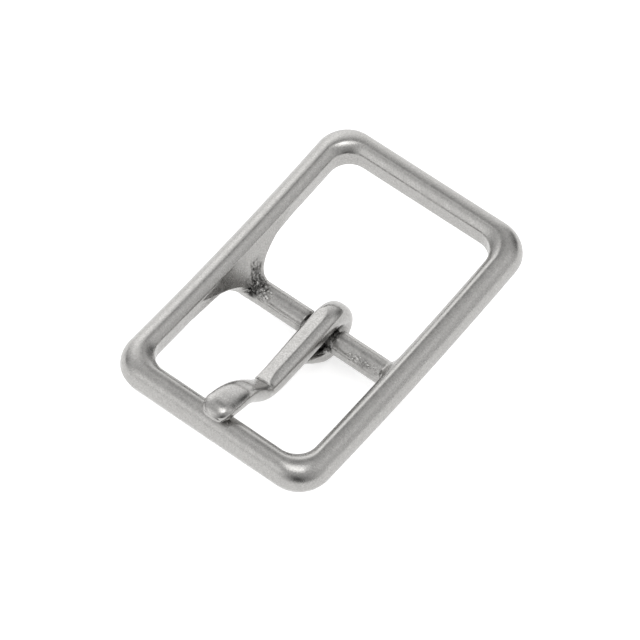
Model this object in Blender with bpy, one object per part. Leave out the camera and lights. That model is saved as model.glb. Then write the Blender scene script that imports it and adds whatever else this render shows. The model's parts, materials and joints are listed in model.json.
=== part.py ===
"""Centre-bar belt buckle for a 25 mm strap, in metres with +Z up.

+X runs along the bar, +Y from the tongue's tip towards the rear rail, and the front face looks up.
The buckle is two loose pieces: a cast frame and the tongue that hooks round the frame's bar.
"""

import math

import bmesh
import bpy

MM = 0.001
FULL_TURN = 2 * math.pi

# Rim, seen from the front
RIM_WIDTH = 34.9 * MM
RIM_LENGTH = 52.7 * MM
RAIL_WIDTH = 3.9 * MM
INNER_CORNER_RADIUS = 3.3 * MM
OUTER_CORNER_RADIUS = 5.0 * MM

# Rail section: insets run from the inner wall outwards, heights up from the rim plane
INNER_EDGE_HEIGHT = 3.0 * MM
RIDGE_HEIGHT = 3.87 * MM
RIDGE_INSET = 1.6 * MM
SHOULDER_HEIGHT = 0.95 * MM
OUTER_WALL_DRAFT = 0.3 * MM

# The rim dips in a shallow curve from both ends towards the bar.
RIM_SAG = 1.22 * MM

# Bar, dropped below the rim so that the strap runs straight through
BAR_DROP = 5.75 * MM
BAR_RADIUS = 1.85 * MM
NECK_RADIUS = 1.38 * MM
NECK_HALF_LENGTH = 2.35 * MM
NECK_SHOULDER = 0.45 * MM

# Webs that carry the bar down from the side rails
WEB_ROOT_INSET = 1.55 * MM
WEB_ROOT_HEIGHT = 2.15 * MM
WEB_KNEE = 0.4 * MM
WEB_FOOT = 2.6 * MM
WEB_HALF_THICKNESS = 1.45 * MM
WEB_REAR_FLARE = 10.5 * MM
WEB_REAR_EASE = 3.4
WEB_FRONT_FLARE = 12.0 * MM
WEB_FRONT_EASE = 2.9
WEB_ROOT_SQUARENESS = 3.2

# Tongue, lying off centre between the neck's shoulders
TONGUE_OFFSET = 0.45 * MM

# Shank, from the tip to the bar: (y, height above the rim plane, half thickness, half width)
SHANK_STATIONS = (
    (-25.50 * MM, 4.60 * MM, 0.80 * MM, 1.60 * MM),
    (-24.95 * MM, 5.00 * MM, 1.00 * MM, 1.95 * MM),
    (-24.07 * MM, 5.24 * MM, 1.05 * MM, 2.10 * MM),
    (-22.60 * MM, 4.74 * MM, 1.15 * MM, 2.15 * MM),
    (-21.05 * MM, 4.12 * MM, 1.18 * MM, 2.15 * MM),
    (-19.60 * MM, 3.34 * MM, 1.20 * MM, 2.10 * MM),
    (-18.20 * MM, 2.15 * MM, 1.25 * MM, 2.00 * MM),
    (-16.60 * MM, 0.30 * MM, 1.28 * MM, 1.92 * MM),
    (-15.20 * MM, -1.20 * MM, 1.30 * MM, 1.88 * MM),
    (-13.90 * MM, -2.15 * MM, 1.36 * MM, 1.80 * MM),
    (-12.30 * MM, -2.48 * MM, 1.52 * MM, 1.82 * MM),
    (-9.50 * MM, -2.40 * MM, 1.70 * MM, 1.86 * MM),
    (-6.00 * MM, -2.30 * MM, 1.80 * MM, 1.95 * MM),
    (-3.00 * MM, -2.20 * MM, 1.78 * MM, 1.95 * MM),
)

# Round the bar: (turn from straight up, radius to the section's middle, half thickness, half width)
HOOK_STATIONS = (
    (-5.0, 3.54 * MM, 1.70 * MM, 1.95 * MM),
    (45.0, 3.42 * MM, 1.60 * MM, 1.92 * MM),
    (90.0, 3.33 * MM, 1.52 * MM, 1.88 * MM),
    (135.0, 3.25 * MM, 1.42 * MM, 1.85 * MM),
    (180.0, 3.18 * MM, 1.32 * MM, 1.80 * MM),
    (220.0, 3.10 * MM, 1.20 * MM, 1.70 * MM),
)

# The hook's end, forward of the bar: (y, height above the bar's axis, half thickness, half width)
HOOK_END_STATIONS = (
    (-3.50 * MM, -1.20 * MM, 1.02 * MM, 1.50 * MM),
    (-4.90 * MM, -0.05 * MM, 0.74 * MM, 1.20 * MM),
    (-6.20 * MM, 0.80 * MM, 0.38 * MM, 0.80 * MM),
)

# Exponent of the tongue's superellipse section, where 2 is round and more is squarer
CIRCLE = 2.0
TONGUE_SQUARENESS = 2.9

# The hook's lowest point is the model's lowest, and the bar's axis is this far above it.
BAR_HEIGHT = 4.5 * MM
RIM_PLANE = BAR_HEIGHT + BAR_DROP

# How finely each stretch is divided
BEVEL_STEPS = 4
SLOPE_STEPS = 7
CORNER_STEPS = 7
SIDE_STEPS = 14
END_STEPS = 3
WEB_STEPS = 12
SHOULDER_STEPS = 3
SECTION_STEPS = 20
SPINE_SPLITS = 3
SHARP_ANGLE = math.radians(35)


def clear_scene():
    for item in list(bpy.data.objects):
        bpy.data.objects.remove(item)


def collection_named(name):
    found = bpy.data.collections.new(name)
    bpy.context.scene.collection.children.link(found)
    return found


def metal(name, colour, roughness):
    made = bpy.data.materials.new(name)
    made.use_nodes = True
    shader = made.node_tree.nodes["Principled BSDF"]
    shader.inputs["Base Color"].default_value = (*colour, 1.0)
    shader.inputs["Roughness"].default_value = roughness
    shader.inputs["Metallic"].default_value = 1.0
    return made


def mesh_object(name, rings, closed, collection, material, origin=(0, 0, 0)):
    """A skin over rings of equal length: a loop when closed, capped at both ends when not."""
    bm = bmesh.new()
    rows = [[bm.verts.new([a - b for a, b in zip(p, origin)]) for p in ring] for ring in rings]
    count = len(rows[0])
    spans = len(rows) if closed else len(rows) - 1
    for i in range(spans):
        here, there = rows[i], rows[(i + 1) % len(rows)]
        for j in range(count):
            k = (j + 1) % count
            bm.faces.new((here[j], here[k], there[k], there[j]))
    if not closed:
        bm.faces.new(rows[0])
        bm.faces.new(rows[-1])
    bmesh.ops.recalc_face_normals(bm, faces=bm.faces)
    mesh = bpy.data.meshes.new(name)
    bm.to_mesh(mesh)
    bm.free()
    mesh.materials.append(material)
    mesh.shade_smooth()
    mesh.set_sharp_from_angle(angle=SHARP_ANGLE)
    made = bpy.data.objects.new(name, mesh)
    made.location = origin
    collection.objects.link(made)
    return made


def rail_profile():
    """The rail's section as (inset from the inner wall, height) pairs, from inner foot to outer foot."""
    points = [(0.0, 0.0), (0.0, 0.5 * INNER_EDGE_HEIGHT)]
    for i in range(BEVEL_STEPS):
        turn = math.pi / 2 * i / BEVEL_STEPS
        across = RIDGE_INSET * (1 - math.cos(turn))
        up = INNER_EDGE_HEIGHT + (RIDGE_HEIGHT - INNER_EDGE_HEIGHT) * math.sin(turn)
        points.append((across, up))
    for i in range(SLOPE_STEPS + 1):
        turn = math.pi / 2 * i / SLOPE_STEPS
        across = RIDGE_INSET + (RAIL_WIDTH - RIDGE_INSET) * math.sin(turn)
        up = SHOULDER_HEIGHT + (RIDGE_HEIGHT - SHOULDER_HEIGHT) * math.cos(turn)
        points.append((across, up))
    points.append((RAIL_WIDTH - OUTER_WALL_DRAFT, 0.0))
    return points


def dip(y):
    """How far the rim lies below its outer ends at a distance y from the bar."""
    return RIM_SAG * (1 - (y / (RIM_LENGTH / 2)) ** 2)


# The end rails are flat underneath, level with the rim's dip at their inner walls.
END_DIP = dip(RIM_LENGTH / 2 - RAIL_WIDTH)


def rounded_outline(half_x, half_y, radius):
    """Points round a rounded rectangle, counter-clockwise, with the same count at every size."""
    corners = ((1, 1, 0), (-1, 1, 1), (-1, -1, 2), (1, -1, 3))
    points = []
    for index, (side_x, side_y, quarter) in enumerate(corners):
        centre = (side_x * (half_x - radius), side_y * (half_y - radius))
        for i in range(CORNER_STEPS + 1):
            turn = math.pi / 2 * (quarter + i / CORNER_STEPS)
            points.append((centre[0] + radius * math.cos(turn), centre[1] + radius * math.sin(turn)))
        steps = END_STEPS if index % 2 == 0 else SIDE_STEPS
        last = points[-1]
        next_x, next_y, next_quarter = corners[(index + 1) % 4]
        turn = math.pi / 2 * next_quarter
        goal = (
            next_x * (half_x - radius) + radius * math.cos(turn),
            next_y * (half_y - radius) + radius * math.sin(turn),
        )
        for i in range(1, steps):
            share = i / steps
            points.append(tuple(a + (b - a) * share for a, b in zip(last, goal)))
    return points


def rim(collection, material):
    """The rail's section carried round the rounded rectangle, with tighter corners inside than outside."""
    rings = []
    for inset, height in rail_profile():
        share = inset / RAIL_WIDTH
        radius = INNER_CORNER_RADIUS + (OUTER_CORNER_RADIUS - INNER_CORNER_RADIUS) * share
        half_x = RIM_WIDTH / 2 - RAIL_WIDTH + inset
        half_y = RIM_LENGTH / 2 - RAIL_WIDTH + inset
        outline = rounded_outline(half_x, half_y, radius)
        if height == 0.0:
            rings.append([(x, y, RIM_PLANE - max(dip(y), END_DIP)) for x, y in outline])
        else:
            rings.append([(x, y, RIM_PLANE + height - dip(y)) for x, y in outline])
    return mesh_object("frame", rings, True, collection, material)


def shoulder_ring(share):
    """A round section of the bar's shoulder: share 0 is its foot on the neck, and 1 its full height."""
    x = NECK_HALF_LENGTH + NECK_SHOULDER * share
    eased = share * share * (3 - 2 * share)
    radius = NECK_RADIUS + (BAR_RADIUS - NECK_RADIUS) * eased
    turns = [FULL_TURN * i / SECTION_STEPS for i in range(SECTION_STEPS)]
    return [(x, radius * math.cos(t), BAR_HEIGHT + radius * math.sin(t)) for t in turns]


def web_stations():
    """From inside the rail down to the bar: (x, z, slope, front, rear, half thickness, squareness)."""
    inner_x = RIM_WIDTH / 2 - RAIL_WIDTH
    root = (inner_x + WEB_ROOT_INSET, RIM_PLANE - RIM_SAG + WEB_ROOT_HEIGHT)
    knee = (inner_x - WEB_KNEE, BAR_HEIGHT)
    foot = (inner_x - WEB_FOOT, BAR_HEIGHT)
    stations = []
    for i in range(WEB_STEPS + 1):
        share = i / WEB_STEPS
        a, b, c = (1 - share) ** 2, 2 * share * (1 - share), share**2
        x = a * root[0] + b * knee[0] + c * foot[0]
        z = a * root[1] + b * knee[1] + c * foot[1]
        run = 2 * (1 - share) * (knee[0] - root[0]) + 2 * share * (foot[0] - knee[0])
        rise = 2 * (1 - share) * (knee[1] - root[1]) + 2 * share * (foot[1] - knee[1])
        rear = BAR_RADIUS + WEB_REAR_FLARE * (1 - share) ** WEB_REAR_EASE
        front = BAR_RADIUS + WEB_FRONT_FLARE * (1 - share) ** WEB_FRONT_EASE
        thickness = WEB_HALF_THICKNESS + (BAR_RADIUS - WEB_HALF_THICKNESS) * share
        squareness = WEB_ROOT_SQUARENESS + (CIRCLE - WEB_ROOT_SQUARENESS) * share
        stations.append((x, z, math.atan2(rise, run), front, rear, thickness, squareness))
    return stations


def squared_circle(turn, power):
    """A point of the unit superellipse at an angle: power 2 is a circle, and more is squarer."""
    c, s = math.cos(turn), math.sin(turn)
    return math.copysign(abs(c) ** (2 / power), c), math.copysign(abs(s) ** (2 / power), s)


def crossbar(collection, material):
    """The bar with its neck, and at each end the web that flares and climbs into the side rail."""
    rings = []
    for x, z, slope, front, rear, thickness, squareness in web_stations():
        ring = []
        for i in range(SECTION_STEPS):
            along, up = squared_circle(FULL_TURN * i / SECTION_STEPS, squareness)
            y = along * (rear if along > 0 else front)
            ring.append((x + up * thickness * math.sin(slope), y, z - up * thickness * math.cos(slope)))
        rings.append(ring)
    rings += [shoulder_ring(i / SHOULDER_STEPS) for i in range(SHOULDER_STEPS, -1, -1)]
    mirrored = [[(-x, y, z) for x, y, z in ring] for ring in reversed(rings)]
    return mesh_object("crossbar", rings + mirrored, False, collection, material)


def joined(base, addition):
    """Two solids made one by a Boolean union, as one mesh on the first."""
    modifier = base.modifiers.new("join", "BOOLEAN")
    modifier.operation = "UNION"
    modifier.object = addition
    shape = base.evaluated_get(bpy.context.evaluated_depsgraph_get())
    mesh = bpy.data.meshes.new_from_object(shape)
    base.modifiers.clear()
    base.data = mesh
    bpy.data.objects.remove(addition)
    return base


def smooth_between(stations, splits):
    """A Catmull-Rom curve through the stations, with every number of a station eased alike."""
    padded = [stations[0], *stations, stations[-1]]
    points = []
    for a, b, c, d in zip(padded, padded[1:], padded[2:], padded[3:]):
        for i in range(splits):
            t = i / splits
            points.append(
                [
                    0.5 * (2 * q + (r - p) * t + (2 * p - 5 * q + 4 * r - w) * t * t
                           + (3 * q - p - 3 * r + w) * t**3)
                    for p, q, r, w in zip(a, b, c, d)
                ]
            )
    return [*points, list(stations[-1])]


def tongue_spine():
    """Every station of the tongue, tip to hook end, as (y, height, half thickness, half width)."""
    spine = [(y, RIM_PLANE + z, thick, wide) for y, z, thick, wide in SHANK_STATIONS]
    for turn, radius, thick, wide in HOOK_STATIONS:
        angle = math.radians(90.0 - turn)
        spine.append(
            (radius * math.cos(angle), BAR_HEIGHT + radius * math.sin(angle), thick, wide)
        )
    spine += [(y, BAR_HEIGHT + z, thick, wide) for y, z, thick, wide in HOOK_END_STATIONS]
    return smooth_between(spine, SPINE_SPLITS)


def tongue(collection, material):
    """A squarish round bar lofted along its spine, with its origin on the bar's axis."""
    spine = tongue_spine()
    rings = []
    for i, (y, z, thick, wide) in enumerate(spine):
        before, after = spine[max(i - 1, 0)], spine[min(i + 1, len(spine) - 1)]
        lean = math.atan2(after[1] - before[1], after[0] - before[0])
        ring = []
        for j in range(SECTION_STEPS):
            across, up = squared_circle(FULL_TURN * j / SECTION_STEPS, TONGUE_SQUARENESS)
            rise = up * thick
            ring.append(
                (TONGUE_OFFSET + across * wide, y - rise * math.sin(lean), z + rise * math.cos(lean))
            )
        rings.append(ring)
    return mesh_object("tongue", rings, False, collection, material, (0, 0, BAR_HEIGHT))


def main():
    clear_scene()
    parts = collection_named("belt_buckle")
    frame_steel = metal("frame_steel", (0.62, 0.61, 0.59), 0.34)
    tongue_steel = metal("tongue_steel", (0.64, 0.63, 0.61), 0.28)
    joined(rim(parts, frame_steel), crossbar(parts, frame_steel))
    tongue(parts, tongue_steel)


main()
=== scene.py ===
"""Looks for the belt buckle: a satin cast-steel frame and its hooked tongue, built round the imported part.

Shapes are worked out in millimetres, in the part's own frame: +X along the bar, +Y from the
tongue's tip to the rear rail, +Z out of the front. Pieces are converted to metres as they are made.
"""

import json
import math

import bpy
import numpy as np
from mathutils import Matrix, Vector, noise


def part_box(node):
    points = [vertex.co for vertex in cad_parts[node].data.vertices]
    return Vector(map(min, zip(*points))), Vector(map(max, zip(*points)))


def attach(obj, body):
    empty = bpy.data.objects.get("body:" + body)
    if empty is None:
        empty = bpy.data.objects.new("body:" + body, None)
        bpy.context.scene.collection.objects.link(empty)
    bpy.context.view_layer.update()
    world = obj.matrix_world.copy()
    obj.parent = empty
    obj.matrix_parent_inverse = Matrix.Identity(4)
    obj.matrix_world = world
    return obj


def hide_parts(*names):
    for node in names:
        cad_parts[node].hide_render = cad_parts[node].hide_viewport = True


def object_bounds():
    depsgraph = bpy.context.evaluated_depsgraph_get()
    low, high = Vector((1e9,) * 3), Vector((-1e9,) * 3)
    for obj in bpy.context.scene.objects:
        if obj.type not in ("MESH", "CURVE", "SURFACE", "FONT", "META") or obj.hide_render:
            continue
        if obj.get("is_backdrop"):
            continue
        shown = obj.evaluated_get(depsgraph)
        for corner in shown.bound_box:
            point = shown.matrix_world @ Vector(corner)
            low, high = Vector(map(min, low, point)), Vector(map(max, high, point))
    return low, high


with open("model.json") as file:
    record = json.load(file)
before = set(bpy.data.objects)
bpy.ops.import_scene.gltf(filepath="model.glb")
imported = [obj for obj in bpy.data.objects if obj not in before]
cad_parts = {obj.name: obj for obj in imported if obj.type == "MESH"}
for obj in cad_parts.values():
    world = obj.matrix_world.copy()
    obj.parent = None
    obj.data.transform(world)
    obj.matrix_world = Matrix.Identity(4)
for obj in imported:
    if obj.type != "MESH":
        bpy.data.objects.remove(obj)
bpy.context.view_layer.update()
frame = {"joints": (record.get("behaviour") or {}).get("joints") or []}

MM = 0.001

# Rim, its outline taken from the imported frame
FRAME_LOW, FRAME_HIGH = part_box("frame")
RIM_WIDTH = (FRAME_HIGH.x - FRAME_LOW.x) / MM
RIM_LENGTH = (FRAME_HIGH.y - FRAME_LOW.y) / MM
RAIL_WIDTH = 3.9
INNER_CORNER_RADIUS = 3.3
OUTER_CORNER_RADIUS = 5.0
RIM_SAG = 1.22

# Rail section: insets from the inner wall outwards, heights above the rim plane. The inner bevel
# starts at a share of its own width, and a higher curve levels it off sooner
INNER_EDGE_HEIGHT = 2.9
INNER_EDGE_ROUND = 0.12
BEVEL_START = 0.06
BEVEL_CURVE = 1.7
RIDGE_INSET = 1.32
RIDGE_HEIGHT = 3.87
SHOULDER_HEIGHT = 0.95
OUTER_WALL_DRAFT = 0.21
FOOT_ROUND = 0.3

# Bar and neck
BAR_HEIGHT = frame["joints"][0]["pos_m"][2] / MM
BAR_DROP = 5.75
RIM_PLANE = BAR_HEIGHT + BAR_DROP
BAR_RADIUS = 1.85
NECK_RADIUS = 1.38
NECK_HALF_LENGTH = 2.35
NECK_SHOULDER = 0.45

# Webs: plates whose inner faces lean in from the rail's inner edge, and turn into the bar
WEB_ROOT_INSET = 1.40
WEB_ROOT_HEIGHT = 2.30
WEB_LEAN = 0.30
WEB_STRAIGHT = 4.3
WEB_FOOT = 2.9
WEB_HALF_THICKNESS = 1.45
# Their spread to the rear and to the front of the bar's axis: (height above the rim plane, rear, front)
WEB_SPREAD = (
    (-5.75, 1.85, 1.85),
    (-4.70, 1.90, 2.40),
    (-3.50, 2.30, 3.55),
    (-2.30, 3.25, 4.90),
    (-1.44, 4.55, 6.30),
    (-0.74, 6.10, 8.00),
    (0.00, 8.00, 9.80),
    (0.87, 10.00, 11.60),
    (1.70, 11.60, 12.80),
    (2.20, 12.30, 13.40),
)
WEB_EDGE_ROUND = 0.4
# How finely the web's middle line is drawn, and how its spread is eased between those heights
WEB_POINTS = 121
EASE_PASSES = 12
EASE_WEIGHTS = (0.1, 0.2, 0.4, 0.2, 0.1)

# The chamfer on each web's front edge: its depth and slope, the slope's own length, which turns
# a height over it into a distance, and where along the web it ends
CHAMFER_DEPTH = 1.7
CHAMFER_SLOPE = 1.25
CHAMFER_LENGTH = 1.6
CHAMFER_STOP = 0.80
CHAMFER_FADE = 0.25

# The fillet between web and rail, which fades out up the rail, towards the hole and at its ends
FILLET = 1.6
FILLET_TOP = 0.9
FILLET_TOP_FADE = 1.2
FILLET_WALL = -0.3
FILLET_WALL_FADE = 0.8
FILLET_END = 12.5
FILLET_END_FADE = 4.0

# The rail's inner wall swells out along its foot beside the web: by how much, how far to the
# rear and front, how high, and how deep into the rail
WALL_SWELL = 0.60
SWELL_REAR = 11.5
SWELL_FRONT = 14.0
SWELL_TOP = 1.5
SWELL_DEPTH = 2.4

# The patch of the rail that each web grows out of
PATCH_FRONT = -15.0
PATCH_REAR = 13.5
PATCH_WALL_HEIGHT = 2.75
PATCH_FOOT_INSET = 3.1

# How finely the frame is divided: the patch's rows across the rail's foot, its rounded edge and
# its inner wall, the rim's columns from the middle of the front rail to the patch and on to the
# rear rail, and the rings down each web and along the bar
FOOT_ROWS = 7
ROUND_ROWS = 4
WALL_ROWS = 3
PATCH_ROWS = FOOT_ROWS + ROUND_ROWS + WALL_ROWS
END_COLUMNS = 24
CORNER_COLUMNS = 30
FRONT_COLUMNS = 8
PATCH_COLUMNS = 76
REAR_COLUMNS = 9
PATCH_START = END_COLUMNS + CORNER_COLUMNS + FRONT_COLUMNS
WEB_RINGS = 58
BAR_RINGS = 150

# How the web's rings run: the share of the web's path where they start, the shares of the rings
# by which they have left the patch's outline and start to turn round into the bar, and how far in
# the plate's corners sit, as a share of its edge's rounding
PLATE_START = 0.24
PATCH_JOIN = 0.42
ROUND_START = 0.45
CORNER_CUT = 0.35
# Relaxing them: how strongly, how many times, and over which shares of the rings it fades
PLATE_RELAX = 0.6
PLATE_ROUNDS = 5
PLATE_PASSES = 6
PLATE_STOP = 0.6
PLATE_FADE = 0.3
TURN_RELAX = 0.5
TURN_PASSES = 40
TURN_START = 0.7
TURN_FADE = 0.15

# Where the casting is rough: a scar down the -X web onto the bar with a crevice at its front,
# and pits on the +X half of the bar
SCAR_TOP = (-12.6, 0.9, 9.2)
SCAR_FOOT = (-9.6, -0.9, 6.0)
SCAR_RADIUS = 0.7
SCAR_SOFT = 0.8
CREVICE_START = (-11.6, -1.6, 6.3)
CREVICE_STOP = (-10.9, -1.9, 5.4)
CREVICE_RADIUS = 0.08
CREVICE_SOFT = 0.3
CREVICE_DEPTH = 0.32
PITS_START = (5.9, -1.15, 6.0)
PITS_STOP = (10.2, -1.35, 5.8)
PITS_RADIUS = 0.35
PITS_SOFT = 0.4
PITS_STRENGTH = 0.7
PIT_DEPTH = 0.34
LUMP_HEIGHT = 0.14
NECK_ROUGHNESS = 0.10

# Two parting lines along the bar: turns from its top towards the rear, their height and width,
# and how far from the middle they fade out
PARTING_TURNS = (0.86, -1.16)
PARTING_HEIGHT = 0.055
PARTING_WIDTH = 0.04
PARTING_WANDER = 0.02
PARTING_STOP = 9.5
PARTING_FADE = 1.5


def smoothstep(x):
    x = np.clip(x, 0.0, 1.0)
    return x * x * (3 - 2 * x)


def inner_half(length):
    return length / 2 - RAIL_WIDTH


def dip(y):
    """How far the rim lies below its ends at a distance y from the bar."""
    return RIM_SAG * (1 - (y / (RIM_LENGTH / 2)) ** 2)


END_DIP = dip(inner_half(RIM_LENGTH))


def arc(centre, radii, start, stop, steps):
    """Points on an ellipse's arc, its last one left out."""
    turns = np.linspace(start, stop, steps + 1)[:-1]
    return [(centre[0] + radii[0] * math.cos(t), centre[1] + radii[1] * math.sin(t)) for t in turns]


def run(start, stop, steps):
    """Points on a straight run, its last one left out."""
    shares = np.linspace(0, 1, steps + 1)[:-1]
    return [tuple(a + (b - a) * s for a, b in zip(start, stop)) for s in shares]


def bevel_point(share):
    """The inner bevel, steepest where it leaves the inner edge and level where it meets the ridge."""
    rise = RIDGE_HEIGHT - INNER_EDGE_HEIGHT
    return RIDGE_INSET * share, INNER_EDGE_HEIGHT + rise * (1 - (1 - share) ** BEVEL_CURVE)


def rail_profile():
    """The rail's section as (inset, height), from the web's patch over the ridge and back under to it.

    The last PATCH_ROWS points cross the patch itself: along the underside and up the inner wall.
    """
    quarter = math.pi / 2
    edge = INNER_EDGE_ROUND
    points = run((0.0, PATCH_WALL_HEIGHT), (0.0, INNER_EDGE_HEIGHT - edge), 3)
    points += [(0.0, INNER_EDGE_HEIGHT - edge), (0.3 * edge, INNER_EDGE_HEIGHT - 0.1 * edge)]
    points += [bevel_point(share) for share in np.linspace(BEVEL_START, 1, 13)[:-1]]
    slope = (RAIL_WIDTH - RIDGE_INSET, RIDGE_HEIGHT - SHOULDER_HEIGHT)
    points += arc((RIDGE_INSET, SHOULDER_HEIGHT), slope, quarter, 0.0, 20)
    outer_foot = RAIL_WIDTH - OUTER_WALL_DRAFT
    points += run((RAIL_WIDTH, SHOULDER_HEIGHT), (outer_foot, FOOT_ROUND), 3)
    corner = (FOOT_ROUND, FOOT_ROUND)
    points += arc((outer_foot - FOOT_ROUND, FOOT_ROUND), corner, 0.0, -quarter, 4)
    points += run((PATCH_FOOT_INSET, 0.0), (FOOT_ROUND, 0.0), FOOT_ROWS)
    points += arc(corner, corner, -quarter, -math.pi, ROUND_ROWS)
    points += run((0.0, FOOT_ROUND), (0.0, PATCH_WALL_HEIGHT), WALL_ROWS)
    return np.array(points)


def half_outline(half_x, half_y, radius):
    """The rim's outline at one inset, from the middle of the front rail round +X to the rear's."""
    quarter = math.pi / 2
    bend_x, bend_y = half_x - radius, half_y - radius
    points = run((0.0, -half_y), (bend_x, -half_y), END_COLUMNS)
    points += arc((bend_x, -bend_y), (radius, radius), -quarter, 0.0, CORNER_COLUMNS)
    points += run((half_x, -bend_y), (half_x, PATCH_FRONT), FRONT_COLUMNS)
    points += run((half_x, PATCH_FRONT), (half_x, PATCH_REAR), PATCH_COLUMNS)
    points += run((half_x, PATCH_REAR), (half_x, bend_y), REAR_COLUMNS)
    points += arc((bend_x, bend_y), (radius, radius), 0.0, quarter, CORNER_COLUMNS)
    points += run((bend_x, half_y), (0.0, half_y), END_COLUMNS)
    return points + [(0.0, half_y)]


def rim_grid():
    """Points of the rim as an array (section row, outline column, xyz)."""
    rows = []
    for inset, height in rail_profile():
        share = inset / RAIL_WIDTH
        radius = INNER_CORNER_RADIUS + (OUTER_CORNER_RADIUS - INNER_CORNER_RADIUS) * share
        half = half_outline(inner_half(RIM_WIDTH) + inset, inner_half(RIM_LENGTH) + inset, radius)
        outline = np.array(half + [(-x, y) for x, y in reversed(half[1:-1])])
        y = outline[:, 1]
        # Past the hole's ends the foot stays level, while the top goes on rising
        levelled = np.maximum(END_DIP - dip(y), 0) * max(1 - height / INNER_EDGE_HEIGHT, 0)
        z = RIM_PLANE + height - dip(y) - levelled
        rows.append(np.column_stack([outline, z]))
    return np.array(rows)


def rim_distance(p):
    """Signed distance to the rim's surface in its middle stretch, where the webs grow out."""
    a = rail_profile()
    inset = np.abs(p[:, 0]) - inner_half(RIM_WIDTH)
    height = p[:, 2] - RIM_PLANE + dip(p[:, 1])
    reach = np.where(p[:, 1] > 0, p[:, 1] / SWELL_REAR, -p[:, 1] / SWELL_FRONT)
    swell = WALL_SWELL * smoothstep(1 - reach) * smoothstep((SWELL_TOP - height) / SWELL_TOP)
    q = np.column_stack([inset + swell * (1 - smoothstep(inset / SWELL_DEPTH)), height])
    edge = np.roll(a, -1, axis=0) - a
    length = np.hypot(edge[:, 0], edge[:, 1])
    a, edge, length = a[length > 0], edge[length > 0], length[length > 0]
    rel = q[:, None, :] - a[None]
    along = np.clip((rel * edge).sum(2) / length**2, 0, 1)
    gap = rel - along[..., None] * edge
    near = np.sqrt((gap**2).sum(2).min(1))
    side = (edge[:, 0] * rel[..., 1] - edge[:, 1] * rel[..., 0]) / length
    inside = (side <= 1e-9).all(1)
    return np.where(inside, -near, near)


def eased(values):
    """A run of values with its corners rounded off."""
    for _ in range(EASE_PASSES):
        values = np.convolve(np.pad(values, 2, mode="edge"), EASE_WEIGHTS, "valid")
    return values


def web_path():
    """The web's middle line in the XZ plane from root to foot, with its section at each point."""
    inner_x = inner_half(RIM_WIDTH)
    root = np.array([inner_x + WEB_ROOT_INSET, RIM_PLANE - RIM_SAG + WEB_ROOT_HEIGHT])
    below = root - WEB_STRAIGHT * np.array([WEB_LEAN, 1.0])
    knee = root - (root[1] - BAR_HEIGHT) * np.array([WEB_LEAN, 1.0])
    foot = np.array([inner_x - WEB_FOOT, BAR_HEIGHT])
    t = np.linspace(0, 1, WEB_POINTS)[:, None]
    line = (1 - t) ** 3 * root + 3 * t * (1 - t) ** 2 * below + 3 * t**2 * (1 - t) * knee + t**3 * foot
    t = t[:, 0]
    height, rear, front = np.array(WEB_SPREAD).T
    rear, front = (eased(np.interp(line[:, 1] - RIM_PLANE, height, spread)) for spread in (rear, front))
    half = WEB_HALF_THICKNESS + (BAR_RADIUS - WEB_HALF_THICKNESS) * t
    edge = WEB_EDGE_ROUND + (BAR_RADIUS - WEB_EDGE_ROUND) * t**1.5
    run_dir = np.gradient(line, axis=0)
    run_dir /= np.linalg.norm(run_dir, axis=1)[:, None]
    inward = np.column_stack([run_dir[:, 1], -run_dir[:, 0]])
    return line, inward, rear, front, half, edge


WEB = web_path()


def web_distance(p):
    """Signed distance to the +X web and the bar beyond its foot."""
    line, inward, rear, front, half, edge = WEB
    q = p[:, [0, 2]]
    a, b = line[:-1], line[1:]
    step = b - a
    rel = q[:, None, :] - a[None]
    along = np.clip((rel * step).sum(2) / (step**2).sum(1), 0, 1)
    gap = rel - along[..., None] * step
    near = (gap**2).sum(2)
    pick = near.argmin(1)
    rows = np.arange(len(p))
    share = pick + along[rows, pick]

    def at(values):
        return np.interp(share, np.arange(len(values)), values)

    normal = np.column_stack([at(inward[:, 0]), at(inward[:, 1])])
    centre = np.column_stack([at(line[:, 0]), at(line[:, 1])])
    across = ((q - centre) * normal).sum(1)
    reach = np.where(p[:, 1] > 0, at(rear), at(front))
    r = at(edge)
    over_y = np.abs(p[:, 1]) - (reach - r)
    over_n = np.abs(across) - (at(half) - r)
    outside = np.hypot(np.maximum(over_y, 0), np.maximum(over_n, 0))
    plate = outside + np.minimum(np.maximum(over_y, over_n), 0) - r
    cut = CHAMFER_DEPTH * smoothstep((CHAMFER_STOP - share / len(line)) / CHAMFER_FADE)
    slope = CHAMFER_SLOPE * (np.abs(p[:, 1]) - reach) + across - at(half) + cut
    chamfered = np.maximum(plate, slope / CHAMFER_LENGTH)
    plate = np.where(p[:, 1] < 0, chamfered, plate)
    bar = np.hypot(p[:, 1], p[:, 2] - BAR_HEIGHT) - BAR_RADIUS
    return np.where(p[:, 0] < line[-1, 0], bar, plate)


def frame_distance(p):
    """The rim and web run together with a fillet."""
    one, other = rim_distance(p), web_distance(p)
    height = p[:, 2] - RIM_PLANE + dip(p[:, 1])
    inset = np.abs(p[:, 0]) - inner_half(RIM_WIDTH)
    fillet = FILLET * smoothstep((FILLET_TOP - height) / FILLET_TOP_FADE)
    fillet *= smoothstep((inset - FILLET_WALL) / FILLET_WALL_FADE)
    fillet *= smoothstep((FILLET_END - np.abs(p[:, 1])) / FILLET_END_FADE)
    fillet += 1e-6
    blend = np.maximum(fillet - np.abs(one - other), 0) / fillet
    return np.minimum(one, other) - blend**2 * fillet / 4


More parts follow.
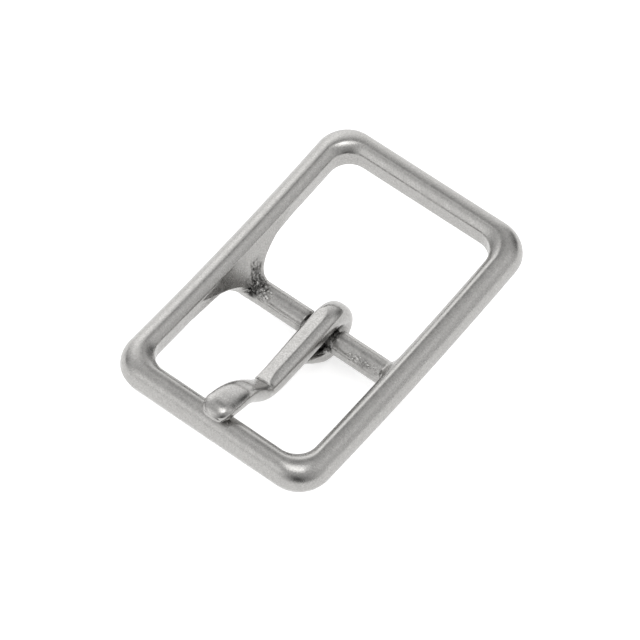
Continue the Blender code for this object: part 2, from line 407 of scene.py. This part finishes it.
def project(points, steps):
    """Moves points along the distance's slope onto the surface."""
    probe, least_slope, longest_move = 0.01, 0.2, 0.4
    p = points.reshape(-1, 3).copy()
    for _ in range(steps):
        value = frame_distance(p)
        slope = np.column_stack([frame_distance(p + probe * axis) - value for axis in np.eye(3)]) / probe
        size = np.maximum((slope**2).sum(1), least_slope)
        move = np.clip(value / size, -longest_move, longest_move)
        p -= move[:, None] * slope
    return p.reshape(points.shape)


RING = 2 * (PATCH_COLUMNS + PATCH_ROWS)
RING_START = math.pi * PATCH_ROWS / RING


def plate_ring(index):
    """The web's section at a place on its path, points matched to the patch's edge."""
    line, inward, rear, front, half, edge = (values[index] for values in WEB)
    cut = CORNER_CUT * edge
    top = np.linspace(rear - cut, cut - front, PATCH_COLUMNS + 1)[:-1]
    down = np.linspace(half - cut, cut - half, PATCH_ROWS + 1)[:-1]
    y = np.concatenate([top, np.full(PATCH_ROWS, -front), -top - front + rear, np.full(PATCH_ROWS, rear)])
    n = np.concatenate([np.full(PATCH_COLUMNS, half), down, np.full(PATCH_COLUMNS, -half), -down])
    return np.column_stack([line[0] + n * inward[0], y, line[1] + n * inward[1]])


def bar_ring(x, radius):
    turns = RING_START + 2 * math.pi * np.arange(RING) / RING
    return np.column_stack([np.full(RING, x), radius * np.cos(turns), BAR_HEIGHT + radius * np.sin(turns)])


def patch_edge(last):
    """The +X patch's outline on a rim of so many rows: (row, column) from its rear upper corner."""
    first = last - PATCH_ROWS
    columns = list(range(PATCH_START + PATCH_COLUMNS, PATCH_START, -1))
    rows = list(range(last, first, -1))
    loop = [(last, c) for c in columns]
    loop += [(r, PATCH_START) for r in rows]
    loop += [(first, c) for c in reversed([c - 1 for c in columns])]
    loop += [(r, PATCH_START + PATCH_COLUMNS) for r in reversed([r - 1 for r in rows])]
    return [(r % last, c) for r, c in loop]


def relaxed(grid, edge_ring, strength):
    """The rings drawn towards the mean of their neighbours, each by its own strength."""
    before = np.concatenate([edge_ring[None], grid[:-1]])
    after = np.concatenate([grid[1:], grid[-1:]])
    mean = (np.roll(grid, 1, axis=1) + np.roll(grid, -1, axis=1) + before + after) / 4
    return grid + (mean - grid) * strength[:, None, None]


def web_rings(edge_ring):
    """Rings from the patch's edge down the web to the bar, eased onto the filleted surface."""
    line, inward = WEB[:2]
    circle = bar_ring(0.0, BAR_RADIUS)
    rise = circle[:, 2] - BAR_HEIGHT
    places = np.linspace(0, 1, WEB_RINGS + 1)[1:]
    rings = []
    for share in places:
        index = int(round((PLATE_START + (1 - PLATE_START) * share) * (len(line) - 1)))
        centre, lean = line[index], inward[index]
        tilted = np.column_stack([centre[0] + rise * lean[0], circle[:, 1], centre[1] + rise * lean[1]])
        turn = smoothstep((share - ROUND_START) / (1 - ROUND_START))
        ring = plate_ring(index) * (1 - turn) + tilted * turn
        join = smoothstep(share / PATCH_JOIN)
        rings.append(edge_ring * (1 - join) + ring * join)
    grid = project(np.array(rings), steps=7)
    # Even spacing on the web, in rounds that each end back on the surface
    strength = PLATE_RELAX * (1 - smoothstep((places - PLATE_STOP) / PLATE_FADE))
    for _ in range(PLATE_ROUNDS):
        for _ in range(PLATE_PASSES):
            grid = relaxed(grid, edge_ring, strength)
        grid = project(grid, steps=1)
    grid = project(grid, steps=2)
    # Then only the turn into the bar is smoothed, where the surface has a crease
    strength = TURN_RELAX * smoothstep((places - TURN_START) / TURN_FADE)
    for _ in range(TURN_PASSES):
        grid = relaxed(grid, edge_ring, strength)
    return grid


def bar_radius(x):
    share = smoothstep((np.abs(x) - NECK_HALF_LENGTH) / NECK_SHOULDER)
    return NECK_RADIUS + (BAR_RADIUS - NECK_RADIUS) * share


def mesh_piece(name, points, quads, caps=()):
    """A smooth-shaded piece from points in millimetres."""
    mesh = bpy.data.meshes.new(name)
    faces = [list(map(int, face)) for face in (*quads, *caps)]
    mesh.from_pydata((points * MM).tolist(), [], faces)
    mesh.validate()
    mesh.shade_smooth()
    piece = bpy.data.objects.new(name, mesh)
    bpy.context.scene.collection.objects.link(piece)
    return piece


def grid_quads(ids):
    """Faces between the rows of an array of point numbers, each row a closed ring."""
    a, b = ids[:-1], ids[1:]
    return np.stack([a, np.roll(a, -1, axis=1), np.roll(b, -1, axis=1), b], axis=-1).reshape(-1, 4)


def near_line(points, start, stop, radius, soft):
    """1 on a line between two places, falling to 0 at radius + soft."""
    start, stop = np.array(start), np.array(stop)
    along = stop - start
    share = np.clip(((points - start) @ along) / (along @ along), 0, 1)
    gap = np.linalg.norm(points - start - share[..., None] * along, axis=-1)
    return 1 - smoothstep((gap - radius) / soft)


def speckle(points, scale, seed):
    """Noise in -1 to 1 at each point of a grid."""
    flat = points.reshape(-1, 3) * scale + seed
    return np.array([noise.noise(Vector(q)) for q in flat]).reshape(points.shape[:-1])


def cast_flaws(grid):
    """What the casting left on the webs and bar: pits, a crevice, parting lines and a rough neck."""
    across = np.roll(grid, -1, axis=1) - np.roll(grid, 1, axis=1)
    along = np.gradient(grid, axis=0)
    normal = np.cross(along, across)
    normal /= np.maximum(np.linalg.norm(normal, axis=-1), 1e-9)[..., None]
    height = np.zeros(grid.shape[:-1])
    rough = near_line(grid, SCAR_TOP, SCAR_FOOT, SCAR_RADIUS, SCAR_SOFT)
    rough += PITS_STRENGTH * near_line(grid, PITS_START, PITS_STOP, PITS_RADIUS, PITS_SOFT)
    busy = rough > 0.01
    bumps = np.zeros_like(height)
    bumps[busy] = speckle(grid[busy], scale=2.3, seed=3.7) + 0.6 * speckle(grid[busy], scale=5.1, seed=9.2)
    height += rough * LUMP_HEIGHT * np.maximum(-bumps - 0.1, 0)
    height -= rough * PIT_DEPTH * np.maximum(bumps - 0.05, 0)
    height -= CREVICE_DEPTH * near_line(grid, CREVICE_START, CREVICE_STOP, CREVICE_RADIUS, CREVICE_SOFT)
    x, y, z = grid[..., 0], grid[..., 1], grid[..., 2]
    bar = 1 - smoothstep((np.abs(x) - PARTING_STOP) / PARTING_FADE)
    turn = np.arctan2(y, z - BAR_HEIGHT)
    for line in PARTING_TURNS:
        place = line + PARTING_WANDER * np.sin(x * 1.7 + line * 9)
        height += PARTING_HEIGHT * bar * np.exp(-((turn - place) / PARTING_WIDTH) ** 2)
    neck = np.abs(x) < NECK_HALF_LENGTH
    height[neck] -= NECK_ROUGHNESS * np.abs(speckle(grid[neck], scale=2.6, seed=1.4))
    return grid + height[..., None] * normal


def build_frame():
    """The rim, both webs and the bar as one skin."""
    rim = rim_grid()
    rows, columns = rim.shape[:2]
    ids = np.arange(rows * columns).reshape(rows, columns)
    below = np.roll(ids, -1, axis=0)
    faces = np.stack([ids, below, np.roll(below, -1, axis=1), np.roll(ids, -1, axis=1)], axis=-1)
    keep = np.ones((rows, columns), bool)
    patch = slice(PATCH_START, PATCH_START + PATCH_COLUMNS)
    mirror = slice(columns - PATCH_START - PATCH_COLUMNS, columns - PATCH_START)
    keep[rows - PATCH_ROWS:, patch] = False
    keep[rows - PATCH_ROWS:, mirror] = False
    quads = faces[keep]

    loop = patch_edge(rows)
    right = np.array([ids[r, c] for r, c in loop])
    left = np.array([ids[r, (columns - c) % columns] for r, c in loop])
    points = rim.reshape(-1, 3)
    web = web_rings(points[right])
    foot = WEB[0][-1, 0]
    xs = np.linspace(foot, -foot, BAR_RINGS + 2)[1:-1]
    bar = np.array([bar_ring(x, bar_radius(x)) for x in xs])
    flip = np.array([-1.0, 1.0, 1.0])
    tube = cast_flaws(np.concatenate([web, bar, web[::-1] * flip]))
    start = len(points)
    tube_ids = start + np.arange(tube.shape[0] * RING).reshape(-1, RING)
    tube_ids = np.concatenate([right[None], tube_ids, left[None]])
    points = np.concatenate([points, tube.reshape(-1, 3)])
    quads = np.concatenate([quads, grid_quads(tube_ids)[:, ::-1]])
    used = np.unique(quads)
    renumber = np.zeros(len(points), int)
    renumber[used] = np.arange(len(used))
    return mesh_piece("buckle_frame", points[used], renumber[quads])


# Tongue, off the buckle's middle by a little, as stations to be joined by a smooth curve
TONGUE_OFFSET = 0.45
# From the tip to the bar: (y, height above the rim plane, half thickness, half width, squareness)
SHANK_STATIONS = (
    (-24.95, 4.66, 1.02, 1.66, 2.4),
    (-24.50, 4.94, 1.14, 2.02, 2.5),
    (-23.80, 5.08, 1.22, 2.26, 2.6),
    (-22.60, 4.74, 1.25, 2.32, 2.6),
    (-21.05, 4.12, 1.25, 2.28, 2.6),
    (-19.60, 3.34, 1.24, 2.14, 2.6),
    (-18.20, 2.15, 1.25, 1.98, 2.6),
    (-16.60, 0.30, 1.28, 1.90, 2.5),
    (-15.20, -1.20, 1.32, 1.86, 2.4),
    (-13.90, -2.15, 1.40, 1.80, 2.35),
    (-12.30, -2.50, 1.55, 1.83, 2.35),
    (-9.50, -2.48, 1.60, 1.87, 2.35),
    (-6.00, -2.38, 1.66, 1.92, 2.35),
    (-3.00, -2.28, 1.68, 1.92, 2.35),
)
# Round the bar: (turn from straight up, radius to the middle, half thickness, half width, squareness)
HOOK_STATIONS = (
    (-5.0, 3.54, 1.70, 1.92, 2.35),
    (25.0, 3.46, 1.64, 1.92, 2.35),
    (60.0, 3.38, 1.56, 1.90, 2.35),
    (90.0, 3.33, 1.50, 1.86, 2.35),
    (135.0, 3.25, 1.40, 1.84, 2.35),
    (180.0, 3.18, 1.30, 1.80, 2.35),
    (220.0, 3.10, 1.18, 1.70, 2.35),
)
# The hook's end: (y, height above the bar's axis, half thickness, half width, squareness)
HOOK_END_STATIONS = (
    (-3.50, -1.20, 1.00, 1.48, 2.3),
    (-4.90, -0.05, 0.72, 1.18, 2.2),
    (-6.00, 0.66, 0.44, 0.86, 2.1),
)
# The hook's middle line is drawn with a station at each such turn, in degrees
HOOK_TURN = 7.5
# How far the tip and the hook's end run on past their last stations, as they close
TIP_REACH = 0.46
TIP_FALL = 0.36
END_REACH = 0.35
# The flat ground along the shank's upper left: its height above the rim plane over the bar,
# its fall per millimetre towards the tip, and its tilt. It stops at a ledge, past which the
# shank is a little lower, as far as the run-out
FLAT_HEIGHT = -0.68
FLAT_FALL = 0.040
FLAT_TILT = math.radians(14)
LEDGE_Y = -13.6
LEDGE_RAMP = 0.24
LEDGE_DROP = 0.26
LEDGE_RUN_OUT = 2.6
# Only the shank's upper side is ground, from this height over the bar's axis, and past the ledge
# the grinding reaches this far down from the flat's level
GROUND_FROM = 1.5
SADDLE_DEPTH = 1.4
TONGUE_RING = 96
TONGUE_STEP = 0.065


def smooth_curve(stations, step):
    """A curve through the stations, sampled evenly, with every column eased alike."""
    p = np.array(stations)
    gap = np.hypot(*np.diff(p[:, :2], axis=0).T)
    slope = np.diff(p, axis=0) / gap[:, None]
    tangent = np.empty_like(p)
    tangent[0], tangent[-1] = slope[0], slope[-1]
    weight = gap[:-1, None] / (gap[:-1, None] + gap[1:, None])
    tangent[1:-1] = slope[:-1] * (1 - weight) + slope[1:] * weight
    rows = []
    for i, length in enumerate(gap):
        count = max(int(round(length / step)), 1)
        t = np.linspace(0, 1, count + 1)[:-1, None]
        rows.append(
            (2 * t**3 - 3 * t**2 + 1) * p[i] + (t**3 - 2 * t**2 + t) * length * tangent[i]
            + (3 * t**2 - 2 * t**3) * p[i + 1] + (t**3 - t**2) * length * tangent[i + 1]
        )
    return np.concatenate(rows + [p[-1:]])


def tongue_spine():
    """The tongue's middle line and section, from its tip along the shank and round the hook."""
    spine = [(y, RIM_PLANE + z, *rest) for y, z, *rest in SHANK_STATIONS]
    hook = np.array(HOOK_STATIONS)
    for turn in np.arange(hook[0, 0], hook[-1, 0] + 1, HOOK_TURN):
        radius, *rest = [np.interp(turn, hook[:, 0], column) for column in hook.T[1:]]
        angle = math.radians(90 - turn)
        spine.append((radius * math.cos(angle), BAR_HEIGHT + radius * math.sin(angle), *rest))
    spine += [(y, BAR_HEIGHT + z, *rest) for y, z, *rest in HOOK_END_STATIONS]
    return smooth_curve(spine, TONGUE_STEP)


def section(half_thickness, half_width, squareness):
    """Across and up of a squarish round section."""
    turns = 2 * math.pi * np.arange(TONGUE_RING) / TONGUE_RING
    c, s = np.cos(turns), np.sin(turns)
    across = np.sign(c) * np.abs(c) ** (2 / squareness) * half_width
    up = np.sign(s) * np.abs(s) ** (2 / squareness) * half_thickness
    return across, up


def shave(points, level, normal, soft):
    """Moves what stands above a surface, at signed height level over it, back onto it along normal."""
    over = np.where(level > -soft, (level + soft) ** 2 / (4 * soft), 0)
    over = np.where(level > soft, level, over)
    return points - over[..., None] * normal


def grind_flat(points):
    """Cuts the shank's flat, and the shallower saddle that starts at the ledge."""
    normal = np.array([-math.sin(FLAT_TILT), -FLAT_FALL, math.cos(FLAT_TILT)])
    normal /= np.linalg.norm(normal)
    level = (points - (0.0, 0.0, RIM_PLANE + FLAT_HEIGHT)) @ normal
    upper = points[..., 2] > BAR_HEIGHT + GROUND_FROM
    past = np.maximum(LEDGE_Y - points[..., 1], 0)
    ramp = smoothstep(past / LEDGE_RAMP)
    # Where nothing is to be cut, the level counts as far below the flat
    uncut = -12.0
    ground = shave(points, np.where(upper, level + uncut * ramp, uncut), normal, 0.03)
    drop = LEDGE_DROP * ramp * (1 - smoothstep(past / LEDGE_RUN_OUT))
    crown = np.clip(level + SADDLE_DEPTH, 0, 1) * upper
    return ground - (drop * smoothstep(crown))[..., None] * normal


def nose(count, blunt):
    """Shares of the section's size and of the nose's length as a rounded end closes."""
    turn = np.linspace(0, 0.5 * math.pi, count + 1)[1:]
    return [(math.cos(t) ** blunt, math.sin(t)) for t in turn]


def build_tongue():
    """The tongue as one skin, with both ends rounded shut."""
    spine = tongue_spine()
    lean = np.arctan2(np.gradient(spine[:, 1]), np.gradient(spine[:, 0]))
    stations = [(*row, angle, 1.0) for row, angle in zip(spine, lean)]
    tip, end = stations[0], stations[-1]
    reach, rise = END_REACH * math.cos(end[5]), END_REACH * math.sin(end[5])
    front = [(tip[0] - TIP_REACH * far, tip[1] - TIP_FALL * far, *tip[2:6], size)
             for size, far in nose(count=20, blunt=0.6)]
    back = [(end[0] + reach * far, end[1] + rise * far, *end[2:6], size)
            for size, far in nose(count=8, blunt=0.9)]
    rings = []
    for y, z, half_thickness, half_width, squareness, angle, size in front[::-1] + stations + back:
        size = max(size, 0.002)
        across, up = section(half_thickness * size, half_width * size, squareness)
        x = TONGUE_OFFSET + across
        rings.append(np.column_stack([x, y - up * math.sin(angle), z + up * math.cos(angle)]))
    points = grind_flat(np.array(rings))
    ids = np.arange(len(points) * TONGUE_RING).reshape(-1, TONGUE_RING)
    return mesh_piece("buckle_tongue", points.reshape(-1, 3), grid_quads(ids)[:, ::-1],
                      caps=(ids[0], ids[-1][::-1]))


# Steel: the spread of its colour, the depth of its grain in metres, and the colour of the painted
# shade put on it, which thickens from each spot's edge in to a share of its radius
COLOUR_SPREAD = 0.12
GRAIN_DEPTH = 0.00003
PAINTED_SHADE_COLOUR = (0.035, 0.034, 0.033, 1)
PAINTED_SHADE_CORE = 0.45
# Where painted shade darkens the steel, in hollows and between parts where shadow falls, each as
# (place, radius, strength): in the neck, on the scar and in its crevice, among the pits, and inside the
# hook
FRAME_PAINTED_SHADE = (
    ((0.0, 0.0, 4.5), 4.3, 0.97),
    ((-11.3, -0.5, 6.9), 2.4, 0.9),
    ((-12.4, 0.8, 8.8), 1.5, 0.5),
    ((-11.2, -1.7, 5.8), 0.9, 0.95),
    ((8.0, -1.3, 5.9), 1.2, 0.35),
)
HOOK_PAINTED_SHADE = (((0.45, 0.0, 4.5), 3.1, 0.85),)


def steel(name, colour, roughness, grain, shade_spots):
    """Satin tumbled steel: a fine speckle in its colour and relief and a cloudier one in its gloss,
    with painted shade darkening its hollows and the gaps between parts at the spots given."""
    material = bpy.data.materials.new(name)
    material.use_nodes = True
    tree = material.node_tree
    shader = tree.nodes["Principled BSDF"]
    shader.inputs["Metallic"].default_value = 1.0
    place = tree.nodes.new("ShaderNodeTexCoord")

    def texture(scale, detail):
        node = tree.nodes.new("ShaderNodeTexNoise")
        node.inputs["Scale"].default_value = scale
        node.inputs["Detail"].default_value = detail
        tree.links.new(place.outputs["Object"], node.inputs["Vector"])
        return node.outputs["Fac"]

    def remap(value, low, high, to_low, to_high):
        node = tree.nodes.new("ShaderNodeMapRange")
        for key, number in zip(("From Min", "From Max", "To Min", "To Max"), (low, high, to_low, to_high)):
            node.inputs[key].default_value = number
        tree.links.new(value, node.inputs["Value"])
        return node.outputs["Result"]

    def mixed(share):
        node = tree.nodes.new("ShaderNodeMix")
        node.data_type = "RGBA"
        tree.links.new(share, node.inputs["Factor"])
        return node

    fine = texture(scale=4200, detail=3)
    cloud = texture(scale=900, detail=4)
    speckled = mixed(remap(fine, 0.34, 0.66, 0, 1))
    speckled.inputs["A"].default_value = (*[c * (1 - COLOUR_SPREAD) for c in colour], 1)
    speckled.inputs["B"].default_value = (*[c * (1 + COLOUR_SPREAD) for c in colour], 1)
    tint = speckled.outputs["Result"]
    # Painted shade: near each spot the colour is darkened towards near-black, in patches
    for spot, radius, strength in shade_spots:
        gap = tree.nodes.new("ShaderNodeVectorMath")
        gap.operation = "DISTANCE"
        gap.inputs[1].default_value = [c * MM for c in spot]
        tree.links.new(place.outputs["Object"], gap.inputs[0])
        near = remap(gap.outputs["Value"], radius * MM, radius * PAINTED_SHADE_CORE * MM, 0, strength)
        patchy = tree.nodes.new("ShaderNodeMath")
        patchy.operation = "MULTIPLY"
        tree.links.new(near, patchy.inputs[0])
        patches = texture(scale=2400, detail=4)
        tree.links.new(remap(patches, 0.42, 0.56, 0.25, 1), patchy.inputs[1])
        darkened = mixed(patchy.outputs[0])
        darkened.inputs["B"].default_value = PAINTED_SHADE_COLOUR
        tree.links.new(tint, darkened.inputs["A"])
        tint = darkened.outputs["Result"]
    tree.links.new(tint, shader.inputs["Base Color"])
    tree.links.new(remap(cloud, 0.3, 0.7, roughness - 0.05, roughness + 0.07), shader.inputs["Roughness"])
    bump = tree.nodes.new("ShaderNodeBump")
    bump.inputs["Strength"].default_value = grain
    bump.inputs["Distance"].default_value = GRAIN_DEPTH
    tree.links.new(fine, bump.inputs["Height"])
    tree.links.new(bump.outputs["Normal"], shader.inputs["Normal"])
    return material


body = build_frame()
# The frame's steel, with painted shade in its neck, by the scar and its crevice, and among the pits
body.data.materials.append(steel("frame_steel", (0.38, 0.374, 0.364), 0.26, 0.38, FRAME_PAINTED_SHADE))
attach(body, "frame")
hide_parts("frame")

prong = build_tongue()
# The tongue's steel, with painted shade inside its hook
prong.data.materials.append(steel("tongue_steel", (0.39, 0.384, 0.374), 0.22, 0.25, HOOK_PAINTED_SHADE))
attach(prong, "tongue")
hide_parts("tongue")


# Camera: its direction from the buckle, and how far the rim's middle lies from the view's middle
CAMERA_AZIMUTH = math.radians(36.97)
CAMERA_ELEVATION = math.radians(57.37)
CAMERA_ROLL = math.radians(1.018)
CAMERA_DISTANCE = 0.622
CAMERA_LENS = 252.23
CAMERA_SENSOR = 36.0
AIM_RIGHT = 0.436 * MM
AIM_UP = 1.374 * MM


def around(azimuth, elevation, distance):
    """A place at a compass angle from -Y towards +X, and a height angle, round the buckle."""
    level = distance * math.cos(elevation)
    return level * math.sin(azimuth), -level * math.cos(azimuth), distance * math.sin(elevation)


def place_camera():
    """The camera at the photo's angle, with its slight roll."""
    data = bpy.data.cameras.new("camera")
    data.lens = CAMERA_LENS
    data.sensor_width = CAMERA_SENSOR
    camera = bpy.data.objects.new("camera", data)
    bpy.context.scene.collection.objects.link(camera)
    back = Vector(around(CAMERA_AZIMUTH, CAMERA_ELEVATION, 1.0))
    flat_right = Vector((math.cos(CAMERA_AZIMUTH), math.sin(CAMERA_AZIMUTH), 0.0))
    flat_up = back.cross(flat_right)
    right = flat_right * math.cos(CAMERA_ROLL) + flat_up * math.sin(CAMERA_ROLL)
    up = flat_up * math.cos(CAMERA_ROLL) - flat_right * math.sin(CAMERA_ROLL)
    aim = Vector((0.0, 0.0, RIM_PLANE * MM)) - right * AIM_RIGHT - up * AIM_UP
    axes = Matrix((right, up, back)).transposed().to_4x4()
    camera.matrix_world = Matrix.Translation(aim + back * CAMERA_DISTANCE) @ axes
    bpy.context.scene.camera = camera


# The lamp overhead, and the floor: its size and the gap under the buckle, in metres
OVERHEAD_AZIMUTH = math.radians(40)
OVERHEAD_ELEVATION = math.radians(80)
OVERHEAD_DISTANCE = 0.6
OVERHEAD_SIZE = 0.3
OVERHEAD_ENERGY = 0.5
OVERHEAD_TARGET = Vector((0, 0, 0.008))
FLOOR_SIZE = 4.0
FLOOR_GAP = 0.0002

# The light tent: a level all round, and soft brighter or darker zones as
# (azimuth, elevation, how wide in degrees, how much brighter)
TENT_LEVEL = 0.78
TENT_DARKEST = 0.02
TENT_ZONES = (
    (60, 75, 6, 2.3),
    (-130, 8, 28, 0.85),
    (-116, 34, 19, 0.85),
    (-163, 6, 18, 0.60),
    (-24, 24, 22, 0.80),
    (124, 40, 17, 0.42),
    (118, 8, 24, 0.12),
    (39, 4, 30, -0.50),
    (39, 28, 24, -0.38),
    (-80, 0, 17, -0.6),
    (165, 10, 22, -0.72),
    (-146, 60, 13, -0.48),
)


def tent(world):
    """Fills the world with the tent's level and its zones."""
    tree = world.node_tree
    background = tree.nodes["Background"]
    background.inputs["Color"].default_value = (1, 1, 1, 1)
    place = tree.nodes.new("ShaderNodeTexCoord")

    def math_node(operation, first, second=None):
        node = tree.nodes.new("ShaderNodeMath")
        node.operation = operation
        for socket, value in zip(node.inputs, (first, second)):
            if isinstance(value, float):
                socket.default_value = value
            elif value is not None:
                tree.links.new(value, socket)
        return node.outputs["Value"]

    total = TENT_LEVEL
    for azimuth, elevation, width, amount in TENT_ZONES:
        dot = tree.nodes.new("ShaderNodeVectorMath")
        dot.operation = "DOT_PRODUCT"
        dot.inputs[1].default_value = around(math.radians(azimuth), math.radians(elevation), 1.0)
        tree.links.new(place.outputs["Generated"], dot.inputs[0])
        sharpness = 1 / (1 - math.cos(math.radians(width)))
        away = math_node("MULTIPLY", math_node("SUBTRACT", dot.outputs["Value"], 1.0), sharpness)
        total = math_node("ADD", total, math_node("MULTIPLY", math_node("EXPONENT", away), amount))
    tree.links.new(math_node("MAXIMUM", total, TENT_DARKEST), background.inputs["Strength"])


def overhead_light():
    """One soft square lamp high on the camera's side."""
    data = bpy.data.lights.new("overhead", "AREA")
    data.size = OVERHEAD_SIZE
    data.energy = OVERHEAD_ENERGY
    light = bpy.data.objects.new("overhead", data)
    bpy.context.scene.collection.objects.link(light)
    light.location = around(OVERHEAD_AZIMUTH, OVERHEAD_ELEVATION, OVERHEAD_DISTANCE)
    light.rotation_euler = (light.location - OVERHEAD_TARGET).to_track_quat("Z", "Y").to_euler()


def floor():
    """A plain white floor, with light of its own so that it stays as white as the photo's."""
    bpy.ops.mesh.primitive_plane_add(size=FLOOR_SIZE, location=(0, 0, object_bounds()[0][2] - FLOOR_GAP))
    plane = bpy.context.object
    plane.name = "floor"
    paint = bpy.data.materials.new("floor_paint")
    paint.use_nodes = True
    shader = paint.node_tree.nodes["Principled BSDF"]
    shader.inputs["Base Color"].default_value = (0.9, 0.9, 0.9, 1)
    shader.inputs["Roughness"].default_value = 0.9
    shader.inputs["Emission Color"].default_value = (1, 1, 1, 1)
    shader.inputs["Emission Strength"].default_value = 0.5
    plane.data.materials.append(paint)
    plane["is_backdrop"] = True


def studio():
    """The tent all round, the lamp and the floor."""
    world = bpy.data.worlds.new("studio")
    bpy.context.scene.world = world
    world.use_nodes = True
    tent(world)
    overhead_light()
    floor()
    bpy.context.scene.view_settings.view_transform = "Standard"


place_camera()
studio()
